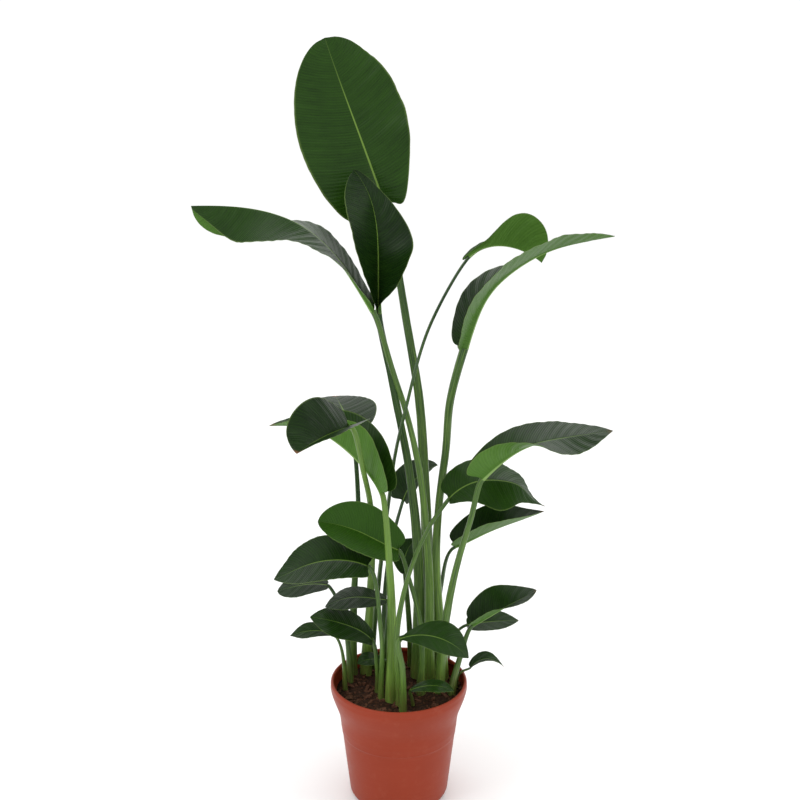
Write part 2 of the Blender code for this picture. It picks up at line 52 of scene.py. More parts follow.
LEAVES = [
    dict(name="01", foot=(0.052, 0.076),
         via=[(0.051, 0.085, 0.411), (0.044, 0.07, 0.588), (0.035, 0.055, 0.72), (0.014, 0.055, 0.852)],
         top=(-0.025, 0.055, 1.062), radius=(0.0115, 0.01, 0.008, 0.0065, 0.0055), heading=165,
         pitch=(69, 69, 69, 71), roll=(-72, -70, -62), length=0.272, width=0.19, wide=0.42, full=0.5, point=0.5,
         lobe=0.12, fold_l=(25, 12, 6), fold_r=(15, 6, 0), curl_r=(-10, -10, -10), w_l=(1.3, 1.12, 1.03, 1, 1),
         w_r=(0.5, 0.82, 0.9, 0.92, 1), wave_r=(12, 3, 0.2)),
    dict(name="02", foot=(0.035, 0.057),
         via=[(0.034, 0.045, 0.438), (0.017, 0.035, 0.606), (-0.005, 0.03, 0.728), (-0.015, 0.02, 0.783)],
         top=(-0.033, 0, 0.885), radius=(0.0125, 0.0095, 0.0075, 0.006, 0.0055), heading=(80, 100, 140, 170),
         pitch=(92, 90, 76, 48), roll=(0, 0, -20, -40), length=0.24, width=0.12, wide=0.45, full=0.9, point=0.5,
         lobe=0, fold_l=(75, 35, 10), fold_r=(75, 35, 10), w_l=(0.7, 0.8, 1.1, 1.4, 1.4),
         w_r=(0.6, 1.2, 0.9, 0.5, 0.3), wave_r=(15, 3, 0.3)),
    dict(name="03", foot=(0.054, 0.031),
         via=[(0.05, 0.012, 0.481), (0.033, 0.005, 0.626), (0.012, 0.012, 0.716), (-0.006, 0, 0.777)],
         top=(-0.041, -0.02, 0.893), radius=(0.0125, 0.0095, 0.0075, 0.006, 0.0055),
         heading=(180, 180, 180, 180, 180, 180), pitch=(60, 56, 43, 20, 5, -2), length=0.36, width=0.14,
         wide=0.5, full=0.6, point=0.5, lobe=0.03, fold_l=(20, 5, -12, -30, -55, -60),
         fold_r=(20, 15, 5, -30, -72, -80), w_l=(0.6, 0.7, 0.9, 1.1, 1, 0.5), w_r=(0.8, 0.8, 0.9, 1, 1, 1.4)),
    dict(name="04", foot=(0.078, 0.05),
         via=[(0.065, 0.05, 0.465), (0.07, 0.06, 0.536), (0.08, 0.05, 0.632), (0.086, 0.03, 0.728)],
         top=(0.108, 0.02, 0.822), radius=(0.0125, 0.0105, 0.0085, 0.0085, 0.009), heading=0,
         pitch=(74, 66, 42, 27, 12, 10), length=0.33, width=0.15, wide=0.45, full=0.6, point=0.8, lobe=0.05,
         fold_l=(45, 28, 0, -8, -8, -8), fold_r=(22, 22, 22, 24, 30, 32)),
    dict(name="05", foot=(-0.049, 0.084),
         via=[(-0.036, 0.09, 0.37), (-0.019, 0.075, 0.521), (-0.005, 0.025, 0.64), (0.01, -0.01, 0.719), (0.052, 0.04, 0.855)],
         top=(0.119, 0.1, 0.959), radius=(0.006, 0.0045, 0.0035, 0.003, 0.003), heading=(10, 0, 0),
         pitch=(45, 5, -20, -40), length=0.135, width=0.1, wide=0.55, full=0.6, point=0.6, lobe=0.15,
         fold_l=(10, 10, 10), fold_r=(80, 85, 80), w_l=0.7, w_r=(0.1, 0.3, 1.15, 1.3, 1.2)),
    dict(name="06", foot=(-0.06, 0.065),
         via=[(-0.051, 0.05, 0.349), (-0.048, 0.032, 0.528), (-0.058, -0.012, 0.609)], top=(-0.08, -0.05, 0.706),
         radius=(0.01, 0.0075, 0.0055, 0.0048, 0.0045), heading=(235, 240, 240), pitch=(5, 0, -8), length=0.15,
         width=0.13, wide=0.42, full=0.6, point=0.8, lobe=0.15, fold_l=(30, 25, 25, 30),
         fold_r=(30, 60, 55, 20, 10)),
    dict(name="07", foot=(-0.084, 0.061), via=[(-0.081, 0.07, 0.34), (-0.072, 0.085, 0.521)],
         top=(-0.082, 0.06, 0.67), radius=(0.008, 0.0065, 0.005, 0.004, 0.0035), heading=(105, 105, 100),
         pitch=(15, 8, -2), length=0.135, width=0.118, wide=0.42, full=0.6, lobe=0.1, fold_l=8, fold_r=8),
    dict(name="08", foot=(-0.014, -0.033),
         via=[(-0.013, -0.05, 0.397), (-0.018, -0.065, 0.504), (-0.022, -0.05, 0.552)],
         top=(-0.028, -0.02, 0.578), radius=(0.0095, 0.0085, 0.007, 0.0055, 0.0048),
         heading=(125, 145, 170, 180, 180, 180), pitch=(38, 42, 40, 30, 6, -2), length=0.24, width=0.125,
         wide=0.42, full=0.6, lobe=0.1, fold_l=(74, 74, 70, 50, 35, 30), fold_r=(74, 72, 60, 30, 12, 10)),
    dict(name="09", foot=(-0.027, 0.08), via=[(-0.014, 0.105, 0.432)], top=(0.008, 0.125, 0.511),
         radius=(0.006, 0.004, 0.003), heading=(40, 25, 10), pitch=(65, 40, 15), length=0.092, width=0.088,
         wide=0.42, full=0.5, point=0.6, lobe=0.1, fold_l=20, fold_r=20),
    dict(name="10", foot=(0.072, -0.001),
         via=[(0.086, -0.03, 0.387), (0.1, -0.045, 0.468), (0.119, -0.055, 0.545)], top=(0.138, -0.05, 0.616),
         radius=(0.011, 0.009, 0.0075, 0.006, 0.0055), heading=0, pitch=(48, 36, 14, 9, 8), length=0.235,
         width=0.145, wide=0.45, full=0.6, point=0.8, lobe=0.1, fold_l=(50, 25, 10, 6, 5, 5),
         fold_r=(75, 50, 20, -5, -12, 0)),
    dict(name="11", foot=(0.002, -0.047),
         via=[(-0.001, -0.067, 0.367), (0.014, -0.055, 0.436), (0.053, -0.035, 0.528)],
         top=(0.087, 0.005, 0.561), radius=(0.008, 0.0065, 0.005, 0.0042, 0.004), heading=0,
         pitch=(50, 27, 2, -15, -50, -20), length=0.188, width=0.12, wide=0.4, full=0.6, point=1.3, lobe=0.08,
         fold_l=(40, 25, 10, 8, 5), fold_r=(-10, -35, -40, -30, 0), w_r=(0.4, 0.8, 1, 0.9, 0.5)),
    dict(name="12", foot=(0.07, 0.08), via=[(0.077, 0.1, 0.355)], top=(0.099, 0.04, 0.456),
         radius=(0.006, 0.0045, 0.0035), heading=0, pitch=(25, 27, 22, 20, 25), length=0.167, width=0.095,
         wide=0.4, full=0.6, lobe=0.07, fold_l=(55, 50, 45, 20, 10), fold_r=(40, 40, 35, 30, 25)),
    dict(name="13", foot=(0.039, -0.008), via=[(0.037, -0.01, 0.339), (0.019, 0, 0.411)],
         top=(-0.001, -0.01, 0.471), radius=(0.009, 0.006, 0.005, 0.0045), heading=180, pitch=(24, 29, 18, 5),
         length=0.148, width=0.12, wide=0.45, full=0.55, point=0.6, lobe=0.09, fold_l=(-12, -12, -12),
         fold_r=(66, 66, 60), w_r=0.84),
    dict(name="14", foot=(-0.031, -0.026), via=[(-0.03, -0.06, 0.345)], top=(-0.052, -0.05, 0.459),
         radius=(0.006, 0.005, 0.004), heading=180, pitch=(25, 5, -12, -26, -25), length=0.168, width=0.12,
         wide=0.43, full=0.55, point=0.85, lobe=0.08, fold_l=(-10, -10, -10), fold_r=(22, 22, 22)),
    dict(name="15", foot=(-0.088, 0.035), via=[(-0.098, 0.045, 0.312), (-0.11, 0.045, 0.355)],
         top=(-0.127, 0.04, 0.383), radius=(0.007, 0.005, 0.0035), heading=180, pitch=(10, -10, -20),
         length=0.09, width=0.07, wide=0.5, full=0.6, point=0.6, lobe=0.08, fold_l=(-10, -10, -10),
         fold_r=(10, 10, 10)),
    dict(name="16", foot=(-0.034, 0.065), via=[(-0.021, 0.01, 0.31)], top=(-0.022, -0.01, 0.378),
         radius=(0.006, 0.0045, 0.003), heading=180, pitch=(8, 5, -15, -35), length=0.11, width=0.07, wide=0.5,
         full=0.6, lobe=0.06, bend=0.3, fold_l=(-10, -10, -10), fold_r=(8, 8, 8)),
    dict(name="17", foot=(-0.037, -0.001), via=[(-0.037, -0.02, 0.248)], top=(-0.046, -0.03, 0.311),
         radius=(0.006, 0.005, 0.004), heading=180, pitch=(50, 25, 15, 7), length=0.118, width=0.08, wide=0.5,
         full=0.6, lobe=0.08, fold_l=(-15, -15, -15), fold_r=(15, 15, 15)),
    dict(name="18", foot=(-0.096, 0.01), top=(-0.117, -0.03, 0.324), radius=(0.005, 0.0035, 0.0025), heading=180,
         pitch=(20, -5, -25), length=0.073, width=0.045, wide=0.5, full=0.6, point=1, lobe=0.08,
         fold_l=(-5, -5, -5), fold_r=(15, 15, 15)),
    dict(name="19", foot=(-0.014, 0.072), top=(-0.028, 0.03, 0.241), radius=(0.003, 0.003), heading=200,
         pitch=(20, 5, -30), length=0.05, width=0.04, wide=0.5, full=0.6, lobe=0.05, fold_l=(-5, -5, -5),
         fold_r=(15, 15, 15)),
    dict(name="20", foot=(0.022, 0.095), top=(0.011, 0.08, 0.388), radius=(0.006, 0.004), heading=(120, 60, 50),
         pitch=(80, 50, 20), length=0.07, width=0.05, wide=0.5, full=0.6, lobe=0.05, fold_l=20, fold_r=20),
    dict(name="21", foot=(0.094, -0.008), via=[(0.109, 0.01, 0.261)], top=(0.13, 0, 0.325),
         radius=(0.008, 0.006, 0.004), heading=0, pitch=(30, 32, 30, 34), length=0.128, width=0.1, wide=0.42,
         full=0.6, point=0.7, lobe=0.08, fold_l=(50, 40, 18, 2), fold_r=(35, 32, 12, -5), w_r=(0.85, 0.85, 0.8)),
    dict(name="22", foot=(0.089, 0.095), top=(0.122, 0.04, 0.305), radius=(0.005, 0.0035, 0.003), heading=0,
         pitch=(12, 5, 0), length=0.092, width=0.06, wide=0.42, full=0.6, lobe=0.05, fold_l=(30, 20, 10),
         fold_r=(-5, -5, -5)),
    dict(name="23", foot=(0.007, -0.064), via=[(0.006, -0.083, 0.282)], top=(0.002, -0.09, 0.344),
         radius=(0.007, 0.006, 0.005), heading=(-5, -10, -15), pitch=(25, 0, -25, -48), length=0.128, width=0.09,
         wide=0.5, full=0.75, lobe=0, fold_l=15, fold_r=-16, w_l=(0.5, 0.9, 1, 0.8), w_r=(0.7, 0.75, 0.7)),
    dict(name="24", foot=(0.025, -0.047), top=(0.021, -0.06, 0.231), radius=(0.003, 0.003), heading=-10,
         pitch=(30, 5, -25), length=0.078, width=0.035, wide=0.5, full=0.6, lobe=0.05, fold_l=10, fold_r=-8),
    dict(name="25", foot=(0.104, 0.017), via=[(0.111, 0.01, 0.228)], top=(0.127, 0.01, 0.236),
         radius=(0.003, 0.002), heading=0, pitch=(55, 25, -20, -50), length=0.07, width=0.04, wide=0.38,
         full=0.6, point=1.2, lobe=0.05, fold_l=15, fold_r=10, w_r=0.6),
]

# Look of each leaf: tone of the upper side, tone of the underside (0 dark to 1 bright; the underside's brightness is
# partly its own paler green and partly painted light shining through the leaf), pleat depth, brown tip
LOOK = {
    "01": (0.30, 0.5, 1.0, 0.0), "02": (0.05, 0.3, 0.6, 0.0), "03": (0.22, 0.75, 0.8, 0.0), "04": (0.10, 0.62, 0.8, 0.0),
    "05": (0.30, 0.80, 0.7, 0.0), "06": (0.10, 0.7, 0.7, 1.0), "07": (0.08, 0.5, 0.5, 1.0), "08": (0.25, 0.85, 0.6, 0.5),
    "09": (0.10, 0.4, 0.5, 0.0), "10": (0.15, 0.80, 0.7, 0.3), "11": (0.30, 0.8, 0.7, 0.5), "12": (0.08, 0.75, 0.4, 0.5),
    "13": (0.62, 0.8, 0.5, 0.0), "14": (0.14, 0.6, 0.6, 0.0), "15": (0.08, 0.5, 0.4, 0.0), "16": (0.12, 0.6, 0.4, 0.0),
    "17": (0.22, 0.6, 0.4, 0.0), "18": (0.20, 0.6, 0.3, 0.0), "19": (0.2, 0.6, 0.3, 0.0), "20": (0.25, 0.6, 0.3, 0.0),
    "21": (0.12, 0.7, 0.4, 0.3), "22": (0.25, 0.7, 0.3, 0.2), "23": (0.22, 0.6, 0.4, 0.0), "24": (0.25, 0.6, 0.3, 0.0),
    "25": (0.22, 0.6, 0.3, 0.8),
}
# Tone of each stalk at its foot and at its top
STALK_LOOK = {
    "01": (0.75, 0.12), "02": (0.55, 0.05), "03": (0.70, 0.35), "04": (0.70, 0.30), "05": (0.30, 0.05),
    "06": (0.70, 0.75), "07": (0.50, 0.05), "08": (0.80, 0.80), "09": (0.30, 0.02), "10": (0.50, 0.40),
    "11": (0.60, 0.30), "12": (0.30, 0.10), "13": (0.45, 0.30), "14": (0.60, 0.25), "15": (0.40, 0.05),
    "16": (0.35, 0.10), "17": (0.50, 0.30), "18": (0.45, 0.20), "19": (0.40, 0.30), "20": (0.40, 0.30),
    "21": (0.45, 0.20), "22": (0.30, 0.15), "23": (0.65, 0.50), "24": (0.55, 0.45), "25": (0.40, 0.25),
}

for leaf in LEAVES:
    leaf["neck"] = leaf["radius"][-1]
    leaf["seed"] = int(leaf["name"]) * 7.31


def key(values, t):
    """Smooth value at t, 0 to 1, from values given at equal steps."""
    if isinstance(values, (int, float)):
        return float(values)
    n = len(values) - 1
    if n == 0:
        return float(values[0])
    x = min(max(t, 0.0), 1.0) * n
    i = min(int(x), n - 1)
    f = x - i
    a, b = values[i], values[i + 1]
    da = (b - values[i - 1]) / 2 if i > 0 else b - a
    db = (values[i + 2] - a) / 2 if i + 2 <= n else b - a
    return ((2 * f**3 - 3 * f**2 + 1) * a + (f**3 - 2 * f**2 + f) * da
            + (-2 * f**3 + 3 * f**2) * b + (f**3 - f**2) * db)


def axes(leaf, t):
    """Along, up and right directions of the blade at t."""
    h, p, r = (math.radians(key(leaf.get(n, 0), t)) for n in ("heading", "pitch", "roll"))
    along = Vector((math.cos(h) * math.cos(p), math.sin(h) * math.cos(p), math.sin(p)))
    up = Vector((-math.cos(h) * math.sin(p), -math.sin(h) * math.sin(p), math.cos(p)))
    right = along.cross(up)
    return along, up * math.cos(r) + right * math.sin(r), right * math.cos(r) - up * math.sin(r)


def midrib(leaf, steps=RIB_STEPS):
    """Points along the midrib at equal steps, from the blade's base to its tip."""
    points = [Vector(leaf["top"])]
    for i in range(steps):
        points.append(points[-1] + axes(leaf, (i + 0.5) / steps)[0] * (leaf["length"] / steps))
    return points


def midrib_at(points, t):
    x = min(max(t, 0.0), 1.0) * (len(points) - 1)
    i = min(int(x), len(points) - 2)
    return points[i].lerp(points[i + 1], x - i)


def half_width(leaf, t):
    """Half width of the blade: fullest at `wide`, blunt at the base, drawn out by `point` at the tip."""
    wide = leaf.get("wide", 0.42)
    power = leaf.get("full", 0.55) if t < wide else leaf.get("point", 0.8)
    u = min(max(t, 0.0), 1.0) ** (math.log(0.5) / math.log(wide))
    body = math.sin(math.pi * min(u, 1.0)) ** power if 0 < t < 1 else 0.0
    return leaf["width"] / 2 * body


def lobe(t):
    """How far the basal lobes reach back: most at t = 0.07."""
    return t / 0.07 * math.exp(1 - t / 0.07)


def row(leaf, points, t, shares_l, shares_r):
    """One cross row of the blade, left margin to right margin; shares are fractions of each half."""
    along, up, right = axes(leaf, t)
    centre = midrib_at(points, t)
    back = leaf["length"] * (leaf.get("sweep", 0.05) * math.sin(math.pi * t) - leaf.get("lobe", 0.1) * lobe(t))
    halves = []
    for side, name, shares in ((-1, "l", shares_l), (1, "r", shares_r)):
        wide = half_width(leaf, t) * key(leaf.get("w_" + name, 1.0), t)
        wide = max(wide, leaf["neck"] * (1 - t) + 0.0012)
        fold, curl = key(leaf["fold_" + name], t), key(leaf.get("curl_" + name, 0), t)
        swing, waves, start = leaf.get("wave_" + name, (0, 3, 0))
        p, line = centre.copy(), [centre.copy()]
        for j in range(SECTION_STEPS):
            q = (j + 0.5) / SECTION_STEPS
            a = math.radians(fold + curl * q + swing * q * math.sin(2 * math.pi * (waves * t + start)))
            p = p + (right * (side * math.cos(a)) + up * math.sin(a)) * (wide / SECTION_STEPS)
            line.append(p.copy())
        half = []
        for q in shares:
            x = q * SECTION_STEPS
            i = min(int(x), SECTION_STEPS - 1)
            half.append(line[i].lerp(line[i + 1], x - i) + along * (back * q ** 1.3))
        halves.append(half)
    return halves[0][::-1] + [centre] + halves[1]


def stalk_path(leaf, n):
    """Centre line of a stalk: upright from its foot, past its way points, into the midrib."""
    knots = [Vector((leaf["foot"][0], leaf["foot"][1], STALK_FOOT_Z))]
    knots += [Vector(p) for p in leaf.get("via", [])] + [Vector(leaf["top"])]
    reach = [0.0]
    for a, b in zip(knots, knots[1:]):
        reach.append(reach[-1] + (b - a).length)
    slopes = [Vector((0, 0, 1))]
    for i in range(1, len(knots) - 1):
        before, after = reach[i] - reach[i - 1], reach[i + 1] - reach[i]
        slopes.append(((knots[i] - knots[i - 1]) / before * after
                       + (knots[i + 1] - knots[i]) / after * before) / (before + after))
    slopes.append(axes(leaf, 0)[0] * leaf.get("bend", 0.5))
    path = []
    for j in range(n + 1):
        s = (reach[-1] - STALK_GAP) * j / n
        i = max(k for k in range(len(knots) - 1) if reach[k] <= s + 1e-9)
        h = reach[i + 1] - reach[i]
        f = (s - reach[i]) / h
        path.append((2 * f**3 - 3 * f**2 + 1) * knots[i] + (f**3 - 2 * f**2 + f) * h * slopes[i]
                    + (-2 * f**3 + 3 * f**2) * knots[i + 1] + (f**3 - f**2) * h * slopes[i + 1])
    return path



# ---------------------------------------------------------------- materials
def new_material(name):
    mat = bpy.data.materials.new(name)
    mat.use_nodes = True
    tree = mat.node_tree
    return mat, tree, tree.nodes["Principled BSDF"]


class Graph:
    """Short helpers for making shader nodes."""

    def __init__(self, tree):
        self.tree = tree

    def node(self, kind, **settings):
        n = self.tree.nodes.new(kind)
        for k, v in settings.items():
            setattr(n, k, v)
        return n

    def link(self, a, b):
        self.tree.links.new(a, b)

    def math(self, op, a, b=None, c=None, clamp=False):
        n = self.node("ShaderNodeMath", operation=op, use_clamp=clamp)
        for i, v in enumerate((a, b, c)):
            if v is None:
                continue
            if isinstance(v, (int, float)):
                n.inputs[i].default_value = v
            else:
                self.link(v, n.inputs[i])
        return n.outputs[0]

    def step(self, v, low, high):
        n = self.node("ShaderNodeMapRange", interpolation_type="SMOOTHSTEP")
        self.link(v, n.inputs["Value"])
        n.inputs["From Min"].default_value = low
        n.inputs["From Max"].default_value = high
        return n.outputs["Result"]

    def mix(self, fac, a, b, blend="MIX"):
        n = self.node("ShaderNodeMix", data_type="RGBA", blend_type=blend)
        for socket, v in ((n.inputs["Factor"], fac), (n.inputs["A"], a), (n.inputs["B"], b)):
            if isinstance(v, (int, float)):
                socket.default_value = v
            elif isinstance(v, tuple):
                socket.default_value = (*v, 1.0)
            else:
                self.link(v, socket)
        return n.outputs["Result"]

    def noise(self, vector, scale, detail=3.0, rough=0.55):
        n = self.node("ShaderNodeTexNoise")
        n.inputs["Scale"].default_value = scale
        n.inputs["Detail"].default_value = detail
        n.inputs["Roughness"].default_value = rough
        self.link(vector, n.inputs["Vector"])
        return n.outputs["Fac"]

    def uv(self, name):
        n = self.node("ShaderNodeUVMap", uv_map=name)
        s = self.node("ShaderNodeSeparateXYZ")
        self.link(n.outputs["UV"], s.inputs[0])
        return n.outputs["UV"], s.outputs[0], s.outputs[1]

    def attribute(self, name):
        n = self.node("ShaderNodeAttribute", attribute_name=name)
        s = self.node("ShaderNodeSeparateColor")
        self.link(n.outputs["Color"], s.inputs[0])
        return s.outputs[0], s.outputs[1], s.outputs[2], n.outputs["Alpha"]

    def bump(self, height, strength, distance, target):
        n = self.node("ShaderNodeBump")
        n.inputs["Strength"].default_value = strength
        n.inputs["Distance"].default_value = distance
        self.link(height, n.inputs["Height"])
        self.link(n.outputs["Normal"], target)


def leaf_material(name, dark, bright, rib, gloss, vein_light, under):
    mat, tree, shader = new_material(name)
    g = Graph(tree)
    uv, across, along = g.uv("blade")              # across: -1 to 1 of the half width; along: cm from the base
    _, dist, rib_half = g.uv("rib")                # cm from the midrib, and the midrib's half width in cm
    t, q, tone, brown = g.attribute("leaf")
    side = g.math("ABSOLUTE", across)
    phase = g.math("SUBTRACT", along, g.math("MULTIPLY", g.math("POWER", side, 1.25), 2.0))
    fine = g.math("SINE", g.math("MULTIPLY", phase, 15.0))
    fine2 = g.math("SINE", g.math("MULTIPLY", phase, 37.0))
    band = g.math("SINE", g.math("ADD", g.math("MULTIPLY", phase, 3.4), g.math("MULTIPLY", across, 1.3)))
    coords = g.node("ShaderNodeCombineXYZ")
    g.link(g.math("MULTIPLY", phase, 1.6), coords.inputs[0])
    g.link(g.math("MULTIPLY", across, 0.7), coords.inputs[1])
    streak = g.noise(coords.outputs[0], 3.0, 4.0)
    geo = g.node("ShaderNodeTexCoord")
    cloud = g.noise(geo.outputs["Object"], 14.0, 3.0)
    light = g.math("ADD", tone, g.math("MULTIPLY", g.math("SUBTRACT", cloud, 0.5), 0.35))
    light = g.math("ADD", light, g.math("MULTIPLY", g.math("SUBTRACT", streak, 0.5), 0.45))
    light = g.math("ADD", light, g.math("MULTIPLY", fine, vein_light), clamp=True)
    colour = g.mix(light, dark, bright)
    colour = g.mix(g.math("MULTIPLY", g.step(fine2, 0.75, 1.0), 0.10), colour, rib)
    dist = g.math("ABSOLUTE", dist)
    on_rib = g.math("SUBTRACT", 1.0, g.step(g.math("DIVIDE", dist, g.math("MAXIMUM", rib_half, 0.01)), 0.55, 1.15))
    fade = g.math("SUBTRACT", 1.0, g.math("MULTIPLY", g.step(t, 0.45, 0.95), 0.75))
    colour = g.mix(g.math("MULTIPLY", on_rib, g.math("MULTIPLY", fade, 0.85)), colour, rib)
    edge = g.step(q, 0.955, 1.0)
    colour = g.mix(g.math("MULTIPLY", edge, 0.45), colour, (0.16, 0.24, 0.06))
    tip = g.math("MULTIPLY", g.step(g.math("ADD", t, g.math("MULTIPLY", g.math("SUBTRACT", cloud, 0.5), 0.06)), 0.945, 0.985), brown)
    colour = g.mix(tip, colour, (0.16, 0.075, 0.03))
    g.link(colour, shader.inputs["Base Color"])
    rough = g.math("ADD", gloss, g.math("MULTIPLY", g.math("SUBTRACT", cloud, 0.5), 0.18))
    g.link(rough, shader.inputs["Roughness"])
    shader.inputs["Specular IOR Level"].default_value = 0.13 if not under else 0.12
    height = g.math("ADD", g.math("MULTIPLY", fine, 0.55), g.math("MULTIPLY", band, 0.9))
    height = g.math("ADD", height, g.math("MULTIPLY", fine2, 0.15))
    height = g.math("MULTIPLY", height, g.math("SUBTRACT", 1.0, on_rib))
    g.bump(height, 0.38, 0.0006, shader.inputs["Normal"])
    return mat


def stalk_material():
    mat, tree, shader = new_material("stalk_skin")
    g = Graph(tree)
    uv, turn, length = g.uv("blade")               # turn: 0 to 1 round the stalk; length: cm from the foot
    t, q, tone, brown = g.attribute("leaf")
    coords = g.node("ShaderNodeCombineXYZ")
    around = g.math("MULTIPLY", turn, 2 * math.pi)
    g.link(g.math("MULTIPLY", g.math("COSINE", around), 1.0), coords.inputs[0])
    g.link(g.math("MULTIPLY", g.math("SINE", around), 1.0), coords.inputs[1])
    g.link(g.math("ADD", g.math("MULTIPLY", length, 0.035), g.math("MULTIPLY", q, 9.0)), coords.inputs[2])
    streak = g.noise(coords.outputs[0], 4.2, 3.0, 0.6)
    thread = g.noise(coords.outputs[0], 13.0, 2.0, 0.6)
    light = g.math("ADD", tone, g.math("MULTIPLY", g.math("SUBTRACT", streak, 0.5), 0.9))
    light = g.math("ADD", light, g.math("MULTIPLY", g.math("SUBTRACT", thread, 0.5), 0.30), clamp=True)
    colour = g.mix(light, (0.014, 0.046, 0.012), (0.255, 0.440, 0.066))
    yellow = g.math("MULTIPLY", g.step(streak, 0.60, 0.78), g.math("MULTIPLY", tone, 0.55))
    colour = g.mix(yellow, colour, (0.42, 0.52, 0.09))
    colour = g.mix(g.math("MULTIPLY", brown, g.step(thread, 0.42, 0.62)), colour, (0.13, 0.06, 0.028))
    g.link(colour, shader.inputs["Base Color"])
    shader.inputs["Roughness"].default_value = 0.36
    shader.inputs["Specular IOR Level"].default_value = 0.30
    g.bump(g.math("ADD", streak, g.math("MULTIPLY", thread, 0.6)), 0.5, 0.0008, shader.inputs["Normal"])
    return mat


def dry_material():
    mat, tree, shader = new_material("dry_sheath")
    g = Graph(tree)
    geo = g.node("ShaderNodeTexCoord")
    stretch = g.node("ShaderNodeMapping")
    stretch.inputs["Scale"].default_value = (1.0, 1.0, 0.06)
    g.link(geo.outputs["Object"], stretch.inputs["Vector"])
    fibre = g.noise(stretch.outputs[0], 420.0, 3.0, 0.6)
    cloud = g.noise(geo.outputs["Object"], 60.0, 3.0)
    colour = g.mix(fibre, (0.06, 0.030, 0.014), (0.30, 0.19, 0.085))
    colour = g.mix(g.step(cloud, 0.50, 0.72), colour, (0.12, 0.16, 0.04))
    g.link(colour, shader.inputs["Base Color"])
    shader.inputs["Roughness"].default_value = 0.75
    g.bump(fibre, 0.6, 0.0008, shader.inputs["Normal"])
    return mat


def pot_material():
    mat, tree, shader = new_material("terracotta_plastic")
    g = Graph(tree)
    geo = g.node("ShaderNodeTexCoord")
    place = g.node("ShaderNodeSeparateXYZ")
    g.link(geo.outputs["Object"], place.inputs[0])
    cloud = g.noise(geo.outputs["Object"], 9.0, 4.0)
    dust = g.noise(geo.outputs["Object"], 55.0, 5.0, 0.65)
    grain = g.noise(geo.outputs["Object"], 900.0, 2.0)
    flat = g.node("ShaderNodeMapping")
    flat.inputs["Scale"].default_value = (1.0, 1.0, 9.0)
    g.link(geo.outputs["Object"], flat.inputs["Vector"])
    rings = g.noise(flat.outputs[0], 12.0, 3.0)
    colour = g.mix(cloud, (0.232, 0.031, 0.012), (0.285, 0.040, 0.016))
    colour = g.mix(g.math("MULTIPLY", g.step(dust, 0.52, 0.80), 0.16), colour, (0.40, 0.12, 0.075))
    colour = g.mix(g.math("MULTIPLY", g.step(rings, 0.5, 0.8), 0.12), colour, (0.36, 0.075, 0.042))
    low = g.math("SUBTRACT", 1.0, g.step(place.outputs[2], 0.0, 0.05))
    colour = g.mix(g.math("MULTIPLY", low, 0.25), colour, (0.26, 0.050, 0.030))
    g.link(colour, shader.inputs["Base Color"])
    g.link(g.math("ADD", 0.40, g.math("MULTIPLY", g.math("SUBTRACT", dust, 0.5), 0.25)), shader.inputs["Roughness"])
    shader.inputs["Specular IOR Level"].default_value = 0.15
    g.bump(g.math("ADD", grain, g.math("MULTIPLY", rings, 1.5)), 0.25, 0.0003, shader.inputs["Normal"])
    return mat


def soil_material(name, low, high, scale):
    mat, tree, shader = new_material(name)
    g = Graph(tree)
    geo = g.node("ShaderNodeTexCoord")
    fine = g.noise(geo.outputs["Object"], scale, 6.0, 0.7)
    broad = g.noise(geo.outputs["Object"], scale * 0.2, 3.0)
    colour = g.mix(g.step(fine, 0.32, 0.72), low, high)
    colour = g.mix(g.step(broad, 0.45, 0.75), colour, tuple(c * 0.45 for c in high))
    g.link(colour, shader.inputs["Base Color"])
    shader.inputs["Roughness"].default_value = 0.9
    shader.inputs["Specular IOR Level"].default_value = 0.2
    g.bump(fine, 0.9, 0.0015, shader.inputs["Normal"])
    return mat


UPPER = leaf_material("leaf_upper", (0.0022, 0.0120, 0.0014), (0.033, 0.104, 0.006), (0.150, 0.250, 0.045), 0.33, 0.040, False)
# The underside colours are brighter than the upper side: partly the underside's own paler green, partly painted light
# shining through the thin leaf
UNDER_PAINTED_GLOW = leaf_material("leaf_under_painted_glow", (0.010, 0.040, 0.006), (0.078, 0.185, 0.024), (0.230, 0.360, 0.110), 0.46, 0.035, True)
STALK = stalk_material()
DRY = dry_material()
POT = pot_material()
SOIL = soil_material("potting_mix", (0.009, 0.0045, 0.0025), (0.075, 0.030, 0.014), 260.0)
BARK = soil_material("bark_chips", (0.030, 0.013, 0.008), (0.200, 0.085, 0.045), 420.0)


# ---------------------------------------------------------------- helpers
def make_object(name, verts, faces, mats, smooth=True, mat_index=None, uvs=None, attribute=None):
    mesh = bpy.data.meshes.new(name)
    mesh.from_pydata([tuple(v) for v in verts], [], faces)
    for m in mats:
        mesh.materials.append(m)
    if mat_index:
        mesh.polygons.foreach_set("material_index", mat_index)
    for uv_name, values in (uvs or {}).items():
        layer = mesh.uv_layers.new(name=uv_name)
        flat = []
        for poly in mesh.polygons:
            for v in poly.vertices:
                flat.extend(values[v])
        layer.data.foreach_set("uv", flat)
    if attribute:
        layer = mesh.attributes.new("leaf", "FLOAT_COLOR", "POINT")
        layer.data.foreach_set("color", [c for value in attribute for c in value])
    if smooth:
        mesh.shade_smooth()
    mesh.update()
    ob = bpy.data.objects.new(name, mesh)
    bpy.context.scene.collection.objects.link(ob)
    return ob


def wobble(x, seed):
    """Smooth wandering value, about -1 to 1."""
    return noise.noise(Vector((x, seed, seed * 0.37))) * 1.7


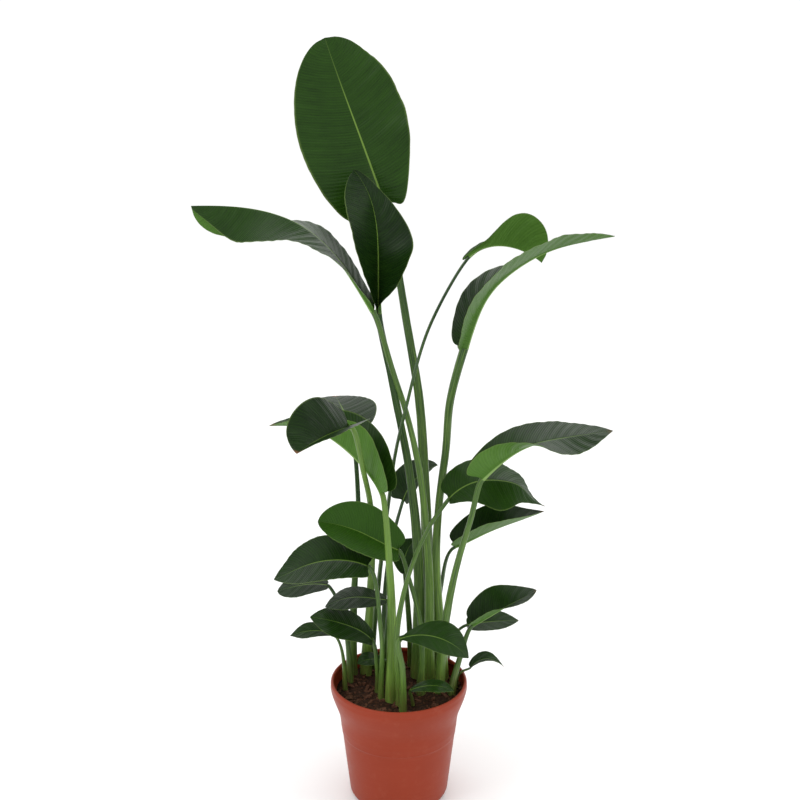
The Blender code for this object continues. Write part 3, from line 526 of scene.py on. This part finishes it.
# ---------------------------------------------------------------- blades
def fine_blade(leaf):
    name = leaf["name"]
    tone_up, tone_under_painted_glow, pleat, brown = LOOK[name]
    length = leaf["length"]
    rows = max(36, int(length / 0.0026))
    cols = 16 if length > 0.2 else 12 if length > 0.1 else 9
    shares = [((j + 1) / cols) ** 1.25 for j in range(cols)]
    points = midrib(leaf)
    grid, ts, backs = [], [], []
    for i in range(rows + 1):
        t = (i / rows) ** 1.15
        ts.append(t)
        grid.append(row(leaf, points, t, shares, shares))
    mid = cols
    count = 2 * cols + 1
    normals = []
    for i in range(rows + 1):
        line = []
        for j in range(count):
            du = grid[min(i + 1, rows)][j] - grid[max(i - 1, 0)][j]
            dv = grid[i][min(j + 1, count - 1)] - grid[i][max(j - 1, 0)]
            line.append(dv.cross(du).normalized())
        normals.append(line)
    thick = 0.00035
    pitch = 0.0165 if length > 0.2 else 0.011
    top, bottom, uv, ribs, attribute = [], [], [], [], []
    for i in range(rows + 1):
        t = ts[i]
        half = max(half_width(leaf, t), 0.002)
        rib = 0.0022 * (length / 0.27) ** 0.5 * (1 - 0.75 * t)
        keel = leaf["neck"] * 0.95 * (1 - t) ** 1.6
        for j in range(count):
            q = 0.0 if j == mid else shares[abs(j - mid) - 1]
            side = 1 if j > mid else -1
            n = normals[i][j]
            along = t * length
            phase = 2 * math.pi * (along - 0.020 * q ** 1.25) / pitch
            ripple = pleat * 0.00055 * math.sin(phase + 2.0 * wobble(along * 22, leaf["seed"] + side))
            ripple *= min(1.0, q * 5) * min(1.0, (1 - t) * 5) * min(1.0, 4 * t + 0.2)
            frill = 0.0022 * pleat * q ** 3 * wobble(along * 38 + side * 11, leaf["seed"] * 1.7) * min(1.0, (1 - t) * 4)
            broad = 0.0016 * pleat * math.sin(math.pi * min(q, 1.0)) * wobble(along * 17 + side * 5, leaf["seed"] * 2.3)
            p = grid[i][j] + n * (ripple + frill + broad)
            near = math.exp(-(q * half / (rib * 1.5)) ** 2)
            top.append(p + n * (thick * (1 - 0.4 * q) - near * rib * 0.35))
            drop = keel * max(0.0, 1 - q * half / max(keel * 1.05, 0.0008)) ** 0.6 if keel > 0.0003 else 0.0
            bottom.append(p - n * (thick * (1 - 0.4 * q) + drop))
            uv.append((side * q, along * 100))
            ribs.append((side * q * half * 100, rib * 100))
            attribute.append((t, q, 0.0, brown))
    verts = top + bottom
    shift = len(top)
    faces, index = [], []
    for i in range(rows):
        for j in range(count - 1):
            a, b, c, d = i * count + j, i * count + j + 1, (i + 1) * count + j + 1, (i + 1) * count + j
            faces.append((a, b, c, d))
            index.append(0)
            faces.append((a + shift, d + shift, c + shift, b + shift))
            index.append(1)
        for j, flip in ((0, False), (count - 1, True)):
            a, d = i * count + j, (i + 1) * count + j
            ring = (a, d, d + shift, a + shift)
            faces.append(ring[::-1] if flip else ring)
            index.append(0)
    for i, flip in ((0, True), (rows, False)):
        for j in range(count - 1):
            a, b = i * count + j, i * count + j + 1
            ring = (a, b, b + shift, a + shift)
            faces.append(ring[::-1] if flip else ring)
            index.append(0)
    # the underside copy takes the underside tone, whose brightness is partly painted light shining through the leaf
    attribute = [(t, q, tone_up, b) for t, q, _, b in attribute] + [(t, q, tone_under_painted_glow, b) for t, q, _, b in attribute]
    ob = make_object("blade_" + name, verts, faces, [UPPER, UNDER_PAINTED_GLOW], mat_index=index,
                     uvs={"blade": uv + uv, "rib": ribs + ribs}, attribute=attribute)
    ob.data.set_sharp_from_angle(angle=math.radians(60))
    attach(ob, "root")
    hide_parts("leaf_" + name)
    return ob


# ---------------------------------------------------------------- stalks
def fine_stalk(leaf):
    name = leaf["name"]
    foot_tone, top_tone = 0.72 * STALK_LOOK[name][0], 0.50 * STALK_LOOK[name][1]
    reach = (Vector(leaf["top"]) - Vector((*leaf["foot"], SOIL_TOP))).length
    rings = max(16, int(reach / 0.006))
    sides = 20
    path = stalk_path(leaf, rings)
    first = axes(leaf, 0)
    # the channel faces the upper side of the blade; the ring is carried back from the top so it does not twist
    frames = [None] * (rings + 1)
    up = first[1]
    for i in range(rings, -1, -1):
        ahead = (path[min(i + 1, rings)] - path[max(i - 1, 0)]).normalized() if 0 < i < rings else (
            first[0] if i == rings else Vector((0, 0, 1)))
        up = (up - ahead * up.dot(ahead)).normalized()
        frames[i] = (ahead, up.copy(), ahead.cross(up))
    verts, uv, attribute = [], [], []
    length = 0.0
    for i, p in enumerate(path):
        if i:
            length += (p - path[i - 1]).length
        f = i / rings
        ahead, up, right = frames[i]
        r = key(leaf["radius"], f)
        groove = 0.34 * min(1.0, (f + 0.05) * 2.2)
        swell = 1 + 0.10 * math.exp(-f * reach / 0.03)
        for k in range(sides):
            a = 2 * math.pi * k / sides
            depth = 1 - groove * math.exp(-((a if a < math.pi else a - 2 * math.pi) / 0.62) ** 2)
            rr = r * swell * depth * (1 + 0.035 * wobble(length * 30 + k * 0.9, leaf["seed"]) + 0.02 * math.cos(5 * a))
            verts.append(p + up * (rr * math.cos(a) * 0.94) + right * (rr * math.sin(a) * 1.04))
            uv.append((k / sides, length * 100))
            brown = 0.75 * math.exp(-((f * reach) / 0.035) ** 2)
            attribute.append((f, leaf["seed"] % 1.0, foot_tone + (top_tone - foot_tone) * (f ** 0.6), brown))
    faces = []
    for i in range(rings):
        for k in range(sides):
            m = (k + 1) % sides
            faces.append((i * sides + k, (i + 1) * sides + k, (i + 1) * sides + m, i * sides + m))
    faces.append(tuple(range(sides)))
    faces.append(tuple(range(rings * sides + sides - 1, rings * sides - 1, -1)))
    ob = make_object("stem_" + name, verts, faces, [STALK], uvs={"blade": uv}, attribute=attribute)
    bm = bmesh.new()
    bm.from_mesh(ob.data)
    bmesh.ops.recalc_face_normals(bm, faces=bm.faces)
    bm.to_mesh(ob.data)
    bm.free()
    ob.data.set_sharp_from_angle(angle=math.radians(60))
    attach(ob, "root")
    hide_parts("stalk_" + name)
    return ob


# ---------------------------------------------------------------- pot
def wall_radius(z):
    straight = POT_BASE_RADIUS + (POT_NECK_RADIUS - POT_BASE_RADIUS) * (z - 0.012) / 0.138
    step = 0.0006 * min(max((z - 0.1212) / 0.0012, 0.0), 1.0)
    ridge = 0.0004 * math.exp(-((z - 0.136) / 0.0016) ** 2)
    flare = min(max((z - 0.150) / 0.060, 0.0), 1.0)
    return straight + step + ridge + (POT_RIM_RADIUS - 0.1107) * flare * flare * (3 - 2 * flare)


def turned(name, profile, sides, mat, smooth_angle=35):
    verts, faces, rings = [], [], []
    for r, z in profile:
        if r < 1e-6:
            rings.append([len(verts)])
            verts.append((0, 0, z))
        else:
            rings.append(list(range(len(verts), len(verts) + sides)))
            verts += [(r * math.cos(2 * math.pi * k / sides), r * math.sin(2 * math.pi * k / sides), z) for k in range(sides)]
    for a, b in zip(rings, rings[1:]):
        for k in range(sides):
            m = (k + 1) % sides
            if len(a) == 1:
                faces.append((a[0], b[m], b[k]))
            elif len(b) == 1:
                faces.append((a[k], a[m], b[0]))
            else:
                faces.append((a[k], a[m], b[m], b[k]))
    ob = make_object(name, verts, faces, [mat])
    ob.data.set_sharp_from_angle(angle=math.radians(smooth_angle))
    return ob


def lip_profile():
    """Rolled lip: a rounded bead from the outside of the flare over to the inside."""
    centre, out = (0.1178, 0.2152), []
    for k in range(15):
        a = math.radians(-25 + k * 205 / 14)
        out.append((centre[0] + 0.0031 * math.cos(a), centre[1] + 0.0053 * math.sin(a)))
    return out


def build_pot():
    foot = [(0.0, 0.0), (0.040, 0.0), (0.0800, 0.0), (0.0828, 0.0008), (0.0852, 0.0028), (0.0870, 0.0058), (0.0881, 0.0092)]
    outside = [(wall_radius(z), z) for z in
               [0.014 + 0.0045 * k for k in range(24)] + [0.1212, 0.1218, 0.1224] +
               [0.1240 + 0.0028 * k for k in range(31)] if z < 0.2100]
    inside = [(wall_radius(z) - 0.0026, z) for z in [0.209 - 0.004 * k for k in range(15)] + [0.12, 0.086, 0.05, 0.014]]
    floor = [(0.0840, POT_FLOOR + 0.0025), (0.0810, POT_FLOOR), (0.0, POT_FLOOR)]
    pot = turned("nursery_pot", foot + outside + lip_profile() + inside + floor, 144, POT)
    cutters = []
    for k in range(8):
        a = 2 * math.pi * (k + 0.5) / 8
        bpy.ops.mesh.primitive_cylinder_add(vertices=24, radius=0.0045, depth=0.014,
                                            location=(0.0875 * math.cos(a), 0.0875 * math.sin(a), 0.0045),
                                            rotation=(0, math.pi / 2, a))
        cutters.append(bpy.context.object)
    bpy.ops.object.select_all(action="DESELECT")
    for c in cutters:
        c.select_set(True)
    bpy.context.view_layer.objects.active = cutters[0]
    bpy.ops.object.join()
    cutter = bpy.context.object
    cut = pot.modifiers.new("drain", "BOOLEAN")
    cut.operation, cut.solver, cut.object = "DIFFERENCE", "EXACT", cutter
    bpy.ops.object.select_all(action="DESELECT")
    pot.select_set(True)
    bpy.context.view_layer.objects.active = pot
    bpy.ops.object.modifier_apply(modifier="drain")
    bpy.data.objects.remove(cutter, do_unlink=True)
    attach(pot, "root")
    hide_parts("pot")
    return pot


# ---------------------------------------------------------------- potting mix
def soil_height(x, y):
    n = noise.fractal(Vector((x * 42, y * 42, 3.1)), 0.9, 2.1, 4)
    m = noise.noise(Vector((x * 16, y * 16, 7.7)))
    return SOIL_TOP - 0.0022 + 0.0030 * n + 0.0040 * m


def build_soil():
    edge = wall_radius(SOIL_TOP) - 0.0034
    sides, rings = 120, 44
    verts, faces, last = [(0, 0, soil_height(0, 0))], [], None
    for i in range(1, rings + 1):
        r = edge * (i / rings)
        ring = list(range(len(verts), len(verts) + sides))
        for k in range(sides):
            a = 2 * math.pi * k / sides
            x, y = r * math.cos(a), r * math.sin(a)
            verts.append((x, y, soil_height(x, y) - 0.004 * max(0.0, (i / rings - 0.9) / 0.1)))
        for k in range(sides):
            m = (k + 1) % sides
            if last is None:
                faces.append((0, ring[k], ring[m]))
            else:
                faces.append((last[k], ring[k], ring[m], last[m]))
        last = ring
    for r, z in ((wall_radius(0.15) - 0.0034, 0.15), (wall_radius(0.05) - 0.0034, 0.05), (0.0805, POT_FLOOR + 0.0006)):
        ring = list(range(len(verts), len(verts) + sides))
        verts += [(r * math.cos(2 * math.pi * k / sides), r * math.sin(2 * math.pi * k / sides), z) for k in range(sides)]
        for k in range(sides):
            m = (k + 1) % sides
            faces.append((last[k], ring[k], ring[m], last[m]))
        last = ring
    faces.append(tuple(last[::-1]))
    ob = make_object("potting_mix", verts, faces, [SOIL])
    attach(ob, "root")
    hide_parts("soil")
    rng = random.Random(11)
    verts, faces = [], []
    for _ in range(420):
        r, a = edge * math.sqrt(rng.random()) * 0.975, rng.random() * 2 * math.pi
        x, y = r * math.cos(a), r * math.sin(a)
        size = rng.choice((0.0016, 0.002, 0.0026, 0.0034, 0.0050, 0.0075))
        sx, sy, sz = size * rng.uniform(0.7, 1.5), size * rng.uniform(0.35, 0.8), size * rng.uniform(0.18, 0.45)
        if r + sx > edge:
            continue
        turn, tilt = rng.random() * math.pi, rng.uniform(-0.5, 0.5)
        base = len(verts)
        shape = []
        for (u, v, w) in ((-1, -1, -1), (1, -1, -1), (1, 1, -1), (-1, 1, -1), (-1, -1, 1), (1, -1, 1), (1, 1, 1), (-1, 1, 1)):
            px = u * sx * rng.uniform(0.6, 1.0)
            py = v * sy * rng.uniform(0.6, 1.0)
            pz = w * sz * rng.uniform(0.6, 1.0)
            px, pz = px * math.cos(tilt) - pz * math.sin(tilt), px * math.sin(tilt) + pz * math.cos(tilt)
            px, py = px * math.cos(turn) - py * math.sin(turn), px * math.sin(turn) + py * math.cos(turn)
            shape.append((x + px, y + py, soil_height(x, y) + sz * 0.5 + pz))
        verts += shape
        faces += [tuple(base + i for i in f) for f in
                  ((0, 3, 2, 1), (4, 5, 6, 7), (0, 1, 5, 4), (1, 2, 6, 5), (2, 3, 7, 6), (3, 0, 4, 7))]
    chips = make_object("bark_chips", verts, faces, [BARK], smooth=False)
    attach(chips, "root")


build_pot()
build_soil()
for leaf in LEAVES:
    fine_stalk(leaf)
    fine_blade(leaf)


# ---------------------------------------------------------------- floor, light and camera
def plain(name, colour, roughness):
    mat, tree, shader = new_material(name)
    shader.inputs["Base Color"].default_value = (*colour, 1)
    shader.inputs["Roughness"].default_value = roughness
    shader.inputs["Specular IOR Level"].default_value = 0.1
    return mat


bpy.ops.mesh.primitive_plane_add(size=30, location=(0, 6, -0.0004))
floor = bpy.context.object
floor.name = "studio_floor"
floor.data.materials.append(plain("studio_white", (0.96, 0.96, 0.96), 0.9))

world = bpy.context.scene.world or bpy.data.worlds.new("studio")
bpy.context.scene.world = world
world.use_nodes = True
world.node_tree.nodes["Background"].inputs["Color"].default_value = (1.0, 1.0, 1.0, 1.0)
world.node_tree.nodes["Background"].inputs["Strength"].default_value = 1.06


def area(name, place, target, size, power):
    data = bpy.data.lights.new(name, "AREA")
    data.shape, data.size, data.size_y, data.energy = "RECTANGLE", size[0], size[1], power
    ob = bpy.data.objects.new(name, data)
    ob.location = place
    ob.rotation_euler = (Vector(target) - Vector(place)).to_track_quat("-Z", "Y").to_euler()
    bpy.context.scene.collection.objects.link(ob)
    return ob


area("key_left", (-2.2, -1.6, 2.6), (0, 0, 0.7), (1.2, 2.0), 24)
area("fill_right", (2.4, -0.9, 1.7), (0, 0, 0.6), (1.0, 2.0), 12)
area("top", (0.0, 0.3, 3.2), (0, 0, 0.6), (1.6, 1.6), 10)
area("back", (0.2, 2.6, 2.2), (0, 0, 0.8), (2.0, 1.4), 5)

camera = bpy.data.cameras.new("camera")
camera.lens = 60
camera.sensor_width = 36
eye = bpy.data.objects.new("camera", camera)
eye.location = (0.0021, -2.123, 1.380)
eye.rotation_euler = (math.radians(90 - 16.85), 0, 0)
bpy.context.scene.collection.objects.link(eye)
bpy.context.scene.camera = eye
bpy.context.scene.view_settings.view_transform = "Standard"
